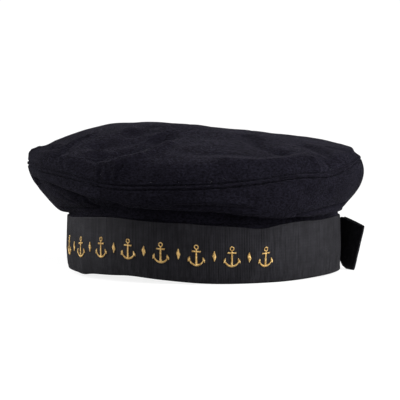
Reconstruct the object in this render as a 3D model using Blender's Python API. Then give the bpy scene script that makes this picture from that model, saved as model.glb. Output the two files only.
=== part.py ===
"""A soft sailor's cap, resting on its headband: a puffed wool crown in two panels,
a stiffened headband, a woven ribbon round it and a flat bow at the rear left.

Metres, +Z up. The wearer faces -Y, and the wearer's left is +X. Angles go round the
cap in degrees, from 0 at the front through 90 at the wearer's left.
"""

from collections import namedtuple

import bmesh
import bpy
import numpy as np

MM = 0.001

# Driving dimensions.
HEADBAND_HEIGHT = 38.5 * MM
HEADBAND_LENGTH = 190 * MM  # front to back, over the headband cloth
HEADBAND_WIDTH = 183 * MM  # side to side, over the headband cloth
HEADBAND_WALL = 2.5 * MM
WOOL_WALL = 2.0 * MM
RIBBON_WIDTH = 37 * MM
RIBBON_WALL = 1.0 * MM
GAP = 0.3 * MM  # between pieces that touch

# The soft crown flops a little to the front right, so the head opening is off the
# middle of the whole cap, which is the origin.
HEAD_CENTRE = (5.7 * MM, 2.6 * MM, 0)

# How the headband swells over its height: share of the height, and how far it stands out.
SwellRow = namedtuple("SwellRow", "share out")
SWELL = (
    SwellRow(0.00, 0.0),
    SwellRow(0.15, 0.1 * MM),
    SwellRow(0.42, 0.7 * MM),
    SwellRow(1.00, 0.0),
)
RIBBON_FOOT = 0.8 * MM  # the headband cloth shows this far below the ribbon

# The soft headband lifts off the ground in front, and the ribbon's top edge gapes
# away from it there. Its lower edge tucks in, but not beside the bow. A row for each
# part of the cap, in millimetres.
BandRow = namedtuple("BandRow", "angle lift gape tuck")
BAND = (
    BandRow(-66, 1.2, 0.0, 1.2),
    BandRow(-36, 3.2, 0.2, 1.2),
    BandRow(-6, 3.6, 0.9, 1.2),
    BandRow(24, 1.0, 1.6, 1.2),
    BandRow(54, 0.0, 1.5, 1.1),
    BandRow(84, 0.8, 0.2, 0.6),
    BandRow(114, 0.6, 0.0, -0.3),
    BandRow(144, 0.0, 0.0, 0.0),
    BandRow(174, 0.0, 0.0, 0.8),
    BandRow(204, 0.0, 0.0, 1.2),
    BandRow(234, 0.0, 0.0, 1.2),
    BandRow(264, 0.0, 0.0, 1.2),
)

# The crown, a row for each upright section through it, in millimetres from the middle
# of the head opening. The cloth stands up from the headband by "neck", goes out to
# "under", hangs down over the "lip", and fills out by "belly" to the seam. Above the
# seam it rolls over by "roll" to the rim, and climbs past the shoulder and inner rings
# to the middle.
CrownRow = namedtuple(
    "CrownRow",
    "angle neck under_r under_z lip_r lip_z belly seam_r seam_z"
    " roll rim_r rim_z shoulder_z inner_z",
)
CROWN = (
    CrownRow(-66, 0.3, 100.5, 43.0, 111.5, 56.0, 1.5, 120.2, 74.0, 3.0, 111.6, 86.2, 98.8, 100.2),
    CrownRow(-36, 2.0, 99.0, 47.5, 110.2, 55.0, 2.0, 119.4, 72.5, 3.6, 110.0, 85.6, 96.5, 99.4),
    CrownRow(-6, 3.5, 97.5, 52.0, 107.5, 51.0, 3.0, 117.0, 63.5, 4.6, 106.5, 83.0, 93.0, 97.0),
    CrownRow(24, 4.0, 97.0, 51.5, 106.0, 49.0, 3.0, 114.3, 65.5, 4.4, 103.0, 82.6, 91.0, 95.0),
    CrownRow(54, 3.0, 96.5, 46.0, 105.0, 43.7, 3.6, 111.0, 71.5, 3.0, 100.0, 82.6, 90.0, 93.5),
    CrownRow(84, 2.0, 95.0, 44.5, 100.5, 46.5, 4.2, 108.6, 73.5, 2.2, 98.8, 84.2, 89.7, 92.6),
    CrownRow(114, 1.5, 94.0, 43.5, 97.8, 48.0, 5.2, 107.2, 78.0, 1.6, 97.4, 85.2, 90.7, 93.3),
    CrownRow(144, 2.0, 95.5, 44.5, 101.0, 47.5, 5.2, 107.5, 78.5, 2.0, 100.0, 86.4, 92.6, 94.7),
    CrownRow(174, 3.0, 97.0, 46.5, 104.0, 48.0, 4.4, 111.0, 77.5, 2.4, 103.0, 88.0, 94.0, 95.9),
    CrownRow(204, 3.5, 98.0, 48.5, 106.0, 49.0, 3.4, 113.5, 76.0, 2.8, 105.0, 87.5, 95.2, 97.7),
    CrownRow(234, 3.0, 98.5, 48.0, 108.0, 50.5, 2.8, 116.5, 75.0, 3.2, 108.0, 87.5, 97.0, 99.4),
    CrownRow(264, 1.2, 99.5, 45.0, 110.2, 53.5, 2.0, 119.3, 75.5, 3.2, 111.0, 87.5, 99.4, 100.8),
)
SHOULDER_RING = 0.62  # share of the rim's radius
INNER_RING = 0.30
MIDDLE_Z = 97.5 * MM
# Where the rings come, counted along a section from the headband.
NECK, UNDER, LIP, BELLY, SEAM, ROLL, RIM, SHOULDER, INNER, MIDDLE = range(1, 11)
SEAM_HALF_GAP = 0.02  # in the same count

# The main folds, a row for each: three places on the crown that its middle line runs
# through, as an angle and a count along the section, then its half width and its
# height in millimetres, which is below zero for a hollow.
Fold = namedtuple("Fold", "name angle_1 at_1 angle_2 at_2 angle_3 at_3 half_width height")
FOLDS = (
    Fold("right_front_ridge", -36, 6.5, -36, 7.0, -43.5, 7.7, 3.2, 1.7),
    Fold("right_front_hollow", -61, 7.16, -86, 6.95, -74, 7.32, 6.0, -1.6),
    Fold("front_ridge", -6, 6.5, 0, 6.88, 4.5, 7.85, 4.5, 2.8),
    Fold("front_hollow", -17, 7.1, -10, 7.6, -6, 8.3, 8.5, -5.2),
    Fold("upper_hollow", -26, 7.5, -22, 8.0, -30, 8.8, 8.5, -4.4),
    Fold("left_front_ridge", 32, 6.88, 47, 6.55, 64, 7.0, 6.0, 2.0),
    Fold("left_corner_ridge", 66, 7.1, 67, 6.2, 67.5, 5.2, 3.5, 1.6),
    Fold("left_front_hollow", 79, 8.9, 60, 8.0, 60, 7.4, 6.5, -3.4),
    Fold("left_end_hollow", 88, 7.6, 81, 7.12, 74.5, 6.2, 5.5, -2.6),
    Fold("top_fullness", -20, 9.2, 24, 9.6, 82, 8.8, 20.0, 3.2),
    Fold("rear_hollow", 158, 7.9, 174, 7.4, 196, 7.7, 11.0, -3.4),
    Fold("rear_ridge", 205, 6.6, 222, 7.0, 236, 7.3, 7.0, 2.2),
    Fold("under_pleat", -56, 3.75, -31, 3.5, -8, 3.1, 4.5, -3.6),
    Fold("rear_under_pleat", 205, 3.4, 232, 3.0, 258, 3.5, 5.0, -3.0),
)
FOLD_STEPS = 8  # along each fold's middle line

# Mesh steps.
ANGLE_STEPS = 72
SIDE_STEPS = 12
TOP_STEPS = 16
SLOPE_STEP = 0.01

# The bow, tied behind the wearer's left ear. It is flat against the tangent there.
BOW_ANGLE = 136
BOW_WIDTH = 32 * MM  # the bow's own ribbon
BOW_PINCH = 20 * MM  # height of the loops under the knot
BOW_FAN_ABOVE = 7 * MM  # their upper halves fan out to the full width over this length
BOW_FAN_BELOW = 14 * MM  # and their lower halves over this one
BOW_REACH = 36.3 * MM  # from the knot's middle to a loop's tip
BOW_HEIGHT = 20.6 * MM  # the knot's middle, above the ground
BOW_DROOP = 0.22  # how far a loop falls for each unit along it, past the knot
BOW_CLEAR = 0.2 * MM  # between a drooping loop and the ground that holds it up
BOW_LEAN = 0.26  # how far the loop's tip leans out for each unit of its height
# Half of the bow seen from above: the share of the reach, and how far the layers next
# to the headband and away from it stand off the headband's ribbon.
BowRow = namedtuple("BowRow", "along near far")
BOW = (
    BowRow(0.00, 2.3, 3.8),
    BowRow(0.16, 2.3, 3.8),
    BowRow(0.34, 2.4, 4.7),
    BowRow(0.58, 2.9, 5.4),
    BowRow(0.80, 3.5, 5.7),
    BowRow(0.95, 4.1, 5.5),
)
BOW_TIP = 4.8  # where the two layers turn into each other
KNOT_WIDTH = 12 * MM
KNOT_WALL = 1.2 * MM
KNOT_CORNER_STEPS = 5


def catmull_rom(before, start, end, after, share):
    """A point between start and end, on a smooth curve through all four."""
    return 0.5 * (
        2 * start
        + (end - before) * share
        + (2 * before - 5 * start + 4 * end - after) * share**2
        + (3 * start - before - 3 * end + after) * share**3
    )


def around(table, column, angles):
    """A column's values at these angles, in metres, on a smooth curve closed round the cap."""
    values = np.array([getattr(row, column) for row in table]) * MM
    places = (np.asarray(angles, float) - table[0].angle) % 360 * len(table) / 360
    first = np.floor(places).astype(int)
    near = [values[(first + k) % len(table)] for k in (-1, 0, 1, 2)]
    return catmull_rom(*near, places - first)


def along(points, places):
    """Points on a smooth open curve through the given ones, at places counted in points."""
    points = np.concatenate([[2 * points[0] - points[1]], points, [2 * points[-1] - points[-2]]])
    places = np.asarray(places, float)
    first = np.clip(np.floor(places).astype(int), 0, len(points) - 4)
    share = (places - first).reshape(-1, *[1] * (points.ndim - 1))
    return catmull_rom(*(points[first + k] for k in range(4)), share)


def unit(vectors):
    return vectors / np.linalg.norm(vectors, axis=-1, keepdims=True)


def world_points(angles, radii, heights):
    """Points from angles round the cap, distances from the head's middle and heights."""
    turn = np.radians(angles)
    return np.stack([radii * np.sin(turn), -radii * np.cos(turn), heights + 0 * turn], axis=-1)


def angles_round():
    return np.arange(ANGLE_STEPS) * 360 / ANGLE_STEPS


def lofted(name, sections, material):
    """A solid through closed sections, the last of which meets the first.

    sections has an axis round the cap, an axis round the section, and x, y, z. Points
    that share a place, as where every section meets the middle, become one.
    """
    mesh = bmesh.new()
    rows = [[mesh.verts.new(point) for point in section] for section in sections]
    for this_row, next_row in zip(rows, rows[1:] + rows[:1]):
        for low, high in zip(range(len(this_row)), list(range(1, len(this_row))) + [0]):
            mesh.faces.new((this_row[low], next_row[low], next_row[high], this_row[high]))
    bmesh.ops.remove_doubles(mesh, verts=mesh.verts, dist=1e-6)
    loose = [edge for edge in mesh.edges if edge.is_wire]
    bmesh.ops.delete(mesh, geom=loose, context="EDGES")
    bmesh.ops.recalc_face_normals(mesh, faces=mesh.faces)
    data = bpy.data.meshes.new(name)
    mesh.to_mesh(data)
    mesh.free()
    data.shade_smooth()
    data.set_sharp_from_angle(angle=np.radians(40))
    data.materials.append(material)
    return bpy.data.objects.new(name, data)


def cloth(name, colour, roughness):
    """A plain cloth material."""
    made = bpy.data.materials.new(name)
    made.use_nodes = True
    shader = made.node_tree.nodes["Principled BSDF"]
    shader.inputs["Base Color"].default_value = (*colour, 1)
    shader.inputs["Roughness"].default_value = roughness
    shader.inputs["Metallic"].default_value = 0
    return made


def lift(angles):
    """How far the soft headband is off the ground."""
    return np.maximum(around(BAND, "lift", angles), 0)


def headband_outside(angles, share):
    """Distance from the head's middle to the headband's outside, at a share of its height."""
    turn = np.radians(angles)
    length, width = HEADBAND_LENGTH / 2, HEADBAND_WIDTH / 2
    oval = length * width / np.hypot(width * np.cos(turn), length * np.sin(turn))
    swell = np.interp(share, [row.share for row in SWELL], [row.out for row in SWELL])
    tuck = around(BAND, "tuck", angles) * np.clip(1 - share / SWELL[1].share, 0, 1)
    return oval + swell - tuck


def headband(material):
    """The stiffened band that grips the head."""
    angles = angles_round()
    outer, inner = [], []
    for row in SWELL:
        outside = headband_outside(angles, row.share)
        height = row.share * HEADBAND_HEIGHT + lift(angles)
        outer.append(world_points(angles, outside, height))
        inner.append(world_points(angles, outside - HEADBAND_WALL, height))
    return lofted("headband", np.stack(outer + inner[::-1], axis=1), material)


def ribbon(material):
    """The woven ribbon round the headband, gaping at its top edge in front."""
    angles = angles_round()
    gape = np.maximum(around(BAND, "gape", angles), 0)
    swells = [row.share * HEADBAND_HEIGHT for row in SWELL[1:-1]]
    outer, inner = [], []
    for height in (RIBBON_FOOT, *swells, RIBBON_FOOT + RIBBON_WIDTH):
        share = (height - RIBBON_FOOT) / RIBBON_WIDTH
        back = headband_outside(angles, height / HEADBAND_HEIGHT) + GAP + gape * share**2
        outer.append(world_points(angles, back + RIBBON_WALL, height + lift(angles)))
        inner.append(world_points(angles, back, height + lift(angles)))
    return lofted("ribbon", np.stack(outer + inner[::-1], axis=1), material)


def crown_rings(angles):
    """The crown's rings from the headband to the middle, as (radius, height) by angle."""
    row = {column: around(CROWN, column, angles) for column in CrownRow._fields[1:]}
    foot = headband_outside(angles, 1.0)
    base = HEADBAND_HEIGHT + GAP + lift(angles)

    def filled(low, high, out):
        """The point halfway between two, pushed out square to the line between them."""
        rise = row[high + "_z"] - row[low + "_z"]
        run = row[high + "_r"] - row[low + "_r"]
        reach = row[out] / np.hypot(rise, run)
        return (
            (row[low + "_r"] + row[high + "_r"]) / 2 + rise * reach,
            (row[low + "_z"] + row[high + "_z"]) / 2 - run * reach,
        )

    rings = [
        (foot, base),
        (foot, base + row["neck"]),
        (row["under_r"], row["under_z"]),
        (row["lip_r"], row["lip_z"]),
        filled("lip", "seam", "belly"),
        (row["seam_r"], row["seam_z"]),
        filled("seam", "rim", "roll"),
        (row["rim_r"], row["rim_z"]),
        (row["rim_r"] * SHOULDER_RING, row["shoulder_z"]),
        (row["rim_r"] * INNER_RING, row["inner_z"]),
        (0 * foot, MIDDLE_Z + 0 * foot),
    ]
    return np.array([np.stack(ring, axis=-1) for ring in rings])


def distance_to_line(points, line):
    """How far each point is from a line of straight pieces."""
    nearest = np.full(points.shape[:-1], np.inf)
    for start, end in zip(line[:-1], line[1:]):
        run = end - start
        share = np.clip((points - start) @ run / (run @ run), 0, 1)
        away = np.linalg.norm(points - start - share[..., None] * run, axis=-1)
        nearest = np.minimum(nearest, away)
    return nearest


def fold_line(fold):
    """The middle line of a fold, on the smooth crown."""
    ends = np.array([getattr(fold, f"angle_{k}") for k in (1, 2, 3)], float)
    counts = np.array([getattr(fold, f"at_{k}") for k in (1, 2, 3)])
    steps = np.linspace(0, 2, FOLD_STEPS)
    angles = along(ends, steps)
    counts = along(counts, steps)
    rings = crown_rings(angles)
    spots = [along(rings[:, k], [count])[0] for k, count in enumerate(counts)]
    radii, heights = np.array(spots).T
    return world_points(angles, radii, heights)


def fold_height(points):
    """How far the folds push the crown's cloth out at these points: the highest ridge
    there, and the deepest hollow."""
    ridge = np.zeros(points.shape[:-1])
    hollow = np.zeros(points.shape[:-1])
    for fold in FOLDS:
        away = distance_to_line(points, fold_line(fold)) / (fold.half_width * MM)
        height = fold.height * MM * np.exp(-(away**2))
        ridge, hollow = np.maximum(ridge, height), np.minimum(hollow, height)
    return ridge + hollow


def crown_panel(name, counts, material):
    """A crown panel between two counts along the sections, folded, with the wool's wall."""
    angles = angles_round()
    rings = crown_rings(angles)
    outside = along(rings, counts)
    slope = along(rings, counts + SLOPE_STEP) - along(rings, counts - SLOPE_STEP)
    slope[-1, np.isclose(outside[-1, :, 0], 0)] = (-1, 0)  # level where it meets the middle
    slope = unit(slope)
    inward = np.stack([-slope[..., 1], slope[..., 0]], axis=-1)
    points = np.stack([world_points(angles, *ring.T) for ring in outside])
    outside = outside - fold_height(points)[..., None] * inward
    loops = np.concatenate([outside, (outside + WOOL_WALL * inward)[::-1]])
    sections = [world_points(angles, *loop.T) for loop in loops]
    return lofted(name, np.stack(sections, axis=1), material)


def crown_side(material):
    """The under panel, from the headband out and up to the seam."""
    return crown_panel("crown_side", np.linspace(0, SEAM - SEAM_HALF_GAP, SIDE_STEPS), material)


def crown_top(material):
    """The top panel, from the seam over the rim to the middle."""
    return crown_panel("crown_top", np.linspace(SEAM + SEAM_HALF_GAP, MIDDLE, TOP_STEPS), material)


def bow_loops(material):
    """Both loops of the bow, one closed band pinched at the middle."""
    runs = np.array([row.along for row in BOW]) * BOW_REACH
    near = np.array([row.near for row in BOW]) * MM
    far = np.array([row.far for row in BOW]) * MM
    half = np.concatenate([np.stack([runs, near], 1), [(BOW_REACH, BOW_TIP * MM)]])
    back = np.stack([runs, far], 1)[::-1]
    mirror = np.array([-1, 1])
    path = np.concatenate([half, back, (back * mirror)[-2::-1], (half * mirror)[:0:-1]])
    heading = unit(np.roll(path, -1, axis=0) - np.roll(path, 1, axis=0))
    square = np.stack([-heading[:, 1], heading[:, 0]], axis=-1)
    clear = KNOT_WIDTH / 2 + GAP
    past_knot = np.clip(np.abs(path[:, 0]) - clear, 0, None)

    def fanned(length):
        """Half the height of the loops, which fan out over this length."""
        share = np.clip(past_knot / length, 0, 1)
        return (BOW_PINCH + (BOW_WIDTH - BOW_PINCH) * share * share * (3 - 2 * share)) / 2

    middle = BOW_HEIGHT - BOW_DROOP * past_knot
    above = fanned(BOW_FAN_ABOVE)
    below = np.minimum(fanned(BOW_FAN_BELOW), middle - BOW_CLEAR)
    corners = []
    for side, rise in ((-0.5, -below), (0.5, -below), (0.5, above), (-0.5, above)):
        run, out = (path + side * RIBBON_WALL * square).T
        lean = BOW_LEAN * rise * past_knot / (BOW_REACH - clear)
        corners.append(np.stack([run, out + lean, middle + rise], axis=-1))
    flat = np.stack(corners, axis=1)
    return lofted("bow_loops", place_bow(flat), material)


def place_bow(flat):
    """Move points of the flat bow, as (run, out, height), to where it is tied."""
    turn = np.radians(BOW_ANGLE)
    outward = np.array([np.sin(turn), -np.cos(turn), 0])
    forward = np.array([-np.cos(turn), -np.sin(turn), 0])
    surface = headband_outside(BOW_ANGLE, BOW_HEIGHT / HEADBAND_HEIGHT) + GAP + RIBBON_WALL
    run, out, height = np.moveaxis(flat, -1, 0)[..., None]
    return (surface + out) * outward + run * forward + height * np.array([0, 0, 1])


def bow_knot(material):
    """The ribbon wrapped round the middle of the bow."""
    inner_near = BOW[0].near * MM - RIBBON_WALL / 2 - GAP
    inner_far = BOW[0].far * MM + RIBBON_WALL / 2 + GAP
    half_height = BOW_PINCH / 2 + GAP
    middle = (inner_near + inner_far) / 2
    half_depth = (inner_far - inner_near) / 2
    turns = np.radians(np.linspace(0, 90, KNOT_CORNER_STEPS))
    ring = []
    for wall in (0, KNOT_WALL):
        quarter = np.stack([wall * np.cos(turns), wall * np.sin(turns)], axis=-1)
        corner = quarter + (half_depth, half_height)
        ring.append(np.concatenate([
            corner,
            corner[::-1] * (-1, 1),
            corner * (-1, -1),
            corner[::-1] * (1, -1),
        ]))
    inside, outside = ring
    half_width = KNOT_WIDTH / 2
    sections = []
    for loop, run in ((inside, -half_width), (outside, -half_width), (outside, half_width),
                      (inside, half_width)):
        out, rise = loop.T
        sections.append(np.stack([run + 0 * out, middle + out, BOW_HEIGHT + rise], axis=-1))
    return lofted("bow_knot", place_bow(np.stack(sections, axis=1)), material)


def main():
    for old in list(bpy.data.objects):
        bpy.data.objects.remove(old)
    collection = bpy.data.collections.new("sailor_cap")
    bpy.context.scene.collection.children.link(collection)
    wool = cloth("navy_wool", (0.017, 0.016, 0.024), 0.95)
    grosgrain = cloth("black_grosgrain", (0.030, 0.029, 0.033), 0.55)
    head = bpy.data.objects.new("head_opening", None)
    head.location = HEAD_CENTRE
    collection.objects.link(head)
    solids = (
        headband(wool),
        ribbon(grosgrain),
        crown_side(wool),
        crown_top(wool),
        bow_loops(grosgrain),
        bow_knot(grosgrain),
    )
    for solid in solids:
        collection.objects.link(solid)
        solid.parent = head


main()
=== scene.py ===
# %% [markdown]
# # A sailor's cap in Blender
#
# The real cap is four kinds of cloth work: a soft wool crown in two panels, a stiffened
# headband, a woven ribbon round it, and a flat bow behind the wearer's left ear. The
# plain solids are already packed, so this lesson loads them as a frame and dresses it.
# Everything is in metres, with +Z up, the wearer facing -Y and their left at +X.

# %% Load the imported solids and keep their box
from collections import namedtuple

import bmesh
import bpy
import numpy as np
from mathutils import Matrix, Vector


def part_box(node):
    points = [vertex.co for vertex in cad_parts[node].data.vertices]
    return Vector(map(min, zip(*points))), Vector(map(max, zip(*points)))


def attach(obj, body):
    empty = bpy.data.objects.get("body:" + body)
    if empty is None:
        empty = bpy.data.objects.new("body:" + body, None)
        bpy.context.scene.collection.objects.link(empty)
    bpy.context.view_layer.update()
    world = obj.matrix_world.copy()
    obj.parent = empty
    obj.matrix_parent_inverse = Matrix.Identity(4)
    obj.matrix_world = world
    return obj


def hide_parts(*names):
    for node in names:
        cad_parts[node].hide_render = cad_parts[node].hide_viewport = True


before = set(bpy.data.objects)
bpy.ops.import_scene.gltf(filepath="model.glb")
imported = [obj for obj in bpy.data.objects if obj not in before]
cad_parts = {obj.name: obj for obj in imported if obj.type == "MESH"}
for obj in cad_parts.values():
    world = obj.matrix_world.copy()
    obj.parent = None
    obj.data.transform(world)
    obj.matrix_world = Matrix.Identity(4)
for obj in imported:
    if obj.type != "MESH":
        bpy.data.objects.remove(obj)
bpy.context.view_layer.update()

MM = 0.001
print("solids:", sorted(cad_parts))

# %% [markdown]
# ## The camera
#
# A camera could be moved by hand until the picture looks right. It is better worked out:
# the photograph was taken from the front left of the wearer, a little above the cap and
# through a long lens, which keeps the far side of the cap nearly as large as the near
# one. So the camera gets a place round the head, a height, and a lens that gives the
# cap its size in a picture 400 pixels wide.

# %% Place the camera
CAMERA_TURN = np.radians(24)  # round from the front, toward the wearer's left
CAMERA_DISTANCE = 2.0  # metres from the head's middle, measured level
CAMERA_HEIGHT = 0.199
AIM_HEIGHT = 48.6 * MM
AIM_ASIDE = -2.6 * MM  # the cap isn't quite in the middle of the picture
PIXELS_PER_METRE_AWAY = 1460.0  # focal length in pixels, for each metre to the target
PICTURE_WIDTH = 400  # pixels
SENSOR_WIDTH = 36.0  # millimetres

band_low, band_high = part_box("headband")
HEAD_X, HEAD_Y = (band_low.x + band_high.x) / 2, (band_low.y + band_high.y) / 2
rightward = Vector((np.cos(CAMERA_TURN), np.sin(CAMERA_TURN), 0))
toward_camera = Vector((np.sin(CAMERA_TURN), -np.cos(CAMERA_TURN), 0))
middle = Vector((HEAD_X, HEAD_Y, 0)) + AIM_ASIDE * rightward
aim = middle + Vector((0, 0, AIM_HEIGHT))
eye = middle + CAMERA_DISTANCE * toward_camera + Vector((0, 0, CAMERA_HEIGHT))

camera_data = bpy.data.cameras.new("camera")
camera_data.sensor_width = SENSOR_WIDTH
camera_data.lens = SENSOR_WIDTH * PIXELS_PER_METRE_AWAY * (aim - eye).length / PICTURE_WIDTH
camera = bpy.data.objects.new("camera", camera_data)
camera.location = eye
camera.rotation_euler = (aim - eye).to_track_quat("-Z", "Y").to_euler()
bpy.context.scene.collection.objects.link(camera)
bpy.context.scene.camera = camera
print("lens in mm:", round(camera_data.lens, 1), "head centre in mm:", HEAD_X / MM, HEAD_Y / MM)

# %% [markdown]
# ## Small helpers for materials
#
# A material in Blender is a little network of nodes. These helpers add a node, set its
# sockets and link it in one line, so that each finish below reads like a recipe.

# %% Node helpers
def new_finish(name):
    """A new material, with its node tree and its Principled shader."""
    made = bpy.data.materials.new(name)
    made.use_nodes = True
    return made, made.node_tree, made.node_tree.nodes["Principled BSDF"]


def node(tree, kind, links=(), **settings):
    """Adds a node. Settings are its own properties, and links set or join its inputs."""
    made = tree.nodes.new(kind)
    for key, value in settings.items():
        setattr(made, key, value)
    for socket, value in dict(links).items():
        if isinstance(value, bpy.types.NodeSocket):
            tree.links.new(value, made.inputs[socket])
        else:
            made.inputs[socket].default_value = value
    return made


def cloth_place(tree, stretch=(1, 1, 1)):
    """The place on the cap in metres, stretched along x, y and z."""
    place = node(tree, "ShaderNodeTexCoord").outputs["Object"]
    return node(tree, "ShaderNodeMapping", {"Vector": place, "Scale": stretch}).outputs["Vector"]


def speckle(tree, place, per_metre, detail=3, roughness=0.6):
    """Random light and dark, per_metre blotches to a metre."""
    links = {"Vector": place, "Scale": per_metre, "Detail": detail, "Roughness": roughness}
    return node(tree, "ShaderNodeTexNoise", links).outputs["Fac"]


def between(tree, factor, low, high, start=0.3, end=0.7):
    """Turns a factor into a colour: low up to the start, and high from the end."""
    ramp = node(tree, "ShaderNodeValToRGB", {"Fac": factor})
    ramp.color_ramp.elements[0].position, ramp.color_ramp.elements[1].position = start, end
    ramp.color_ramp.elements[0].color = (*low, 1)
    ramp.color_ramp.elements[1].color = (*high, 1)
    return ramp.outputs["Color"]


def ranged(tree, factor, low, high, start=0, end=1):
    """Turns a factor into a number: low at the start, and high at the end."""
    links = {"Value": factor, "From Min": start, "From Max": end, "To Min": low, "To Max": high}
    return node(tree, "ShaderNodeMapRange", links).outputs["Result"]


def seen_or_thrown(tree, seen, thrown):
    """One strength for what the camera sees, another for the light thrown at the cap."""
    camera_ray = node(tree, "ShaderNodeLightPath").outputs["Is Camera Ray"]
    return ranged(tree, camera_ray, thrown, seen)


def multiplied(tree, first, second):
    """Two colours multiplied. The Mix node takes its pair of colours at sockets 6 and 7."""
    links = {"Factor": 1.0, 6: first, 7: second}
    return node(tree, "ShaderNodeMix", links, data_type="RGBA", blend_type="MULTIPLY").outputs[2]


def bumped(tree, height, strength, depth, under=None):
    """Makes the surface look raised where the height is large, over an earlier bump."""
    links = {"Height": height, "Strength": strength, "Distance": depth}
    if under is not None:
        links["Normal"] = under
    return node(tree, "ShaderNodeBump", links).outputs["Normal"]


print("node helpers ready")

# %% [markdown]
# ## Floor and light
#
# The cap was lit in a white tent, by big soft boxes: one on each side, a weaker one in
# front and a faint one behind. Dark wool shows light mainly where it is seen edge on, so
# the side boxes draw the folds. A photographer exposes the tent and its floor to pure
# white. Lighting them to white would flood a dark cap, so here they only look white to
# the camera, and throw much less light at the cap.

# %% Make the floor and the lights
FLOOR_RADIUS = 0.9
FLOOR_CORNERS = 96
FLOOR_SEEN, FLOOR_GLOW = 0.86, 0.23
TENT_SEEN, TENT_GLOW = 1.05, 0.02

floor_turns = np.linspace(0, 2 * np.pi, FLOOR_CORNERS, endpoint=False)
edge_points = [(FLOOR_RADIUS * np.cos(t), FLOOR_RADIUS * np.sin(t), 0) for t in floor_turns]
floor_mesh = bpy.data.meshes.new("floor")
floor_mesh.from_pydata(edge_points, [], [range(len(edge_points))])
floor = bpy.data.objects.new("floor", floor_mesh)
bpy.context.scene.collection.objects.link(floor)
floor_paper, tree, shader = new_finish("floor_paper")
grain = between(tree, speckle(tree, cloth_place(tree), 400), (0.22, 0.22, 0.22), (0.24, 0.24, 0.24))
tree.links.new(grain, shader.inputs["Base Color"])
shader.inputs["Roughness"].default_value = 0.9
shader.inputs["Specular IOR Level"].default_value = 0.0
shader.inputs["Emission Color"].default_value = (1, 1, 1, 1)
floor_light = seen_or_thrown(tree, FLOOR_SEEN, FLOOR_GLOW)
tree.links.new(floor_light, shader.inputs["Emission Strength"])
floor_mesh.materials.append(floor_paper)


def softbox(name, place, look_at, width, height, watts):
    """A soft box, which is a glowing rectangle that faces a point."""
    data = bpy.data.lights.new(name, "AREA")
    data.shape = "RECTANGLE"
    data.size, data.size_y, data.energy = width, height, watts
    box = bpy.data.objects.new(name, data)
    box.location = place
    box.rotation_euler = (look_at - Vector(place)).to_track_quat("-Z", "Y").to_euler()
    bpy.context.scene.collection.objects.link(box)


cap_middle = Vector((0, 0, 0.06))  # left and right below are the picture's
softbox("left_softbox", (-1.3, -0.45, 0.66), cap_middle, 0.9, 0.9, 24)
softbox("right_softbox", (1.2, 0.2, 0.52), cap_middle, 0.9, 0.9, 30)
softbox("front_softbox", (0.45, -1.3, 0.72), cap_middle, 1.2, 1.0, 11)
softbox("back_softbox", (-0.9, 1.05, 0.5), cap_middle, 1.6, 1.0, 1.8)

world = bpy.data.worlds.new("white_tent")
bpy.context.scene.world = world
world.use_nodes = True
tent = world.node_tree
background = tent.nodes["Background"]
background.inputs["Color"].default_value = (1, 1, 1, 1)
tent.links.new(seen_or_thrown(tent, TENT_SEEN, TENT_GLOW), background.inputs["Strength"])
bpy.context.scene.view_settings.view_transform = "Standard"
print("floor and", len(bpy.data.lights), "lights ready")

# %% [markdown]
# ## Wool melton
#
# The crown and headband are melton: wool that is woven, shrunk and brushed until the
# weave hardly shows. It is nearly black navy, fully matt, and its nap catches light
# where it is seen edge on. Real hairs could be grown on it, but they would be far finer
# than a pixel. The shader's sheen gives their edge light, and three sizes of noise give
# the nap: soft patches where it lies in different directions, fibres about a millimetre
# long, and single fibre ends.

# %% Make the wool
wool, tree, shader = new_finish("wool_melton")
place = cloth_place(tree)
patches = speckle(tree, place, 45, detail=4)
fibres = speckle(tree, cloth_place(tree, (1, 1, 1.7)), 560, detail=4, roughness=0.7)
ends = speckle(tree, place, 2600, detail=2)
deep = between(tree, patches, (0.0050, 0.0046, 0.0074), (0.0079, 0.0074, 0.0117))
worn = between(tree, fibres, (0.25, 0.25, 0.26), (1.85, 1.85, 1.85), 0.36, 0.66)
tree.links.new(multiplied(tree, deep, worn), shader.inputs["Base Color"])
shader.inputs["Roughness"].default_value = 0.95
shader.inputs["Specular IOR Level"].default_value = 0.06
shader.inputs["Specular Tint"].default_value = (0.82, 0.79, 1.0, 1)
upright = ranged(tree, fibres, 0.007, 0.065, 0.38, 0.64)
tree.links.new(upright, shader.inputs["Sheen Weight"])
shader.inputs["Sheen Roughness"].default_value = 0.15
shader.inputs["Sheen Tint"].default_value = (0.80, 0.76, 1.0, 1)
coarse = bumped(tree, patches, 0.3, 1.2 * MM)
fuzzy = bumped(tree, fibres, 0.9, 1.2 * MM, coarse)
tree.links.new(bumped(tree, ends, 0.4, 0.25 * MM, fuzzy), shader.inputs["Normal"])
print("wool nodes:", len(tree.nodes))

# %% [markdown]
# ## Grosgrain ribbon
#
# A cap ribbon is grosgrain: fine silky threads run along it over thick ones that run
# across, and so it has small ribs from edge to edge. A bump could fake the ribs, but it
# fails at the outline and at the ribbon's edges. The ribs will be real geometry, so the
# material only adds the threads along the ribbon, a soft shine and a little unevenness.

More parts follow.
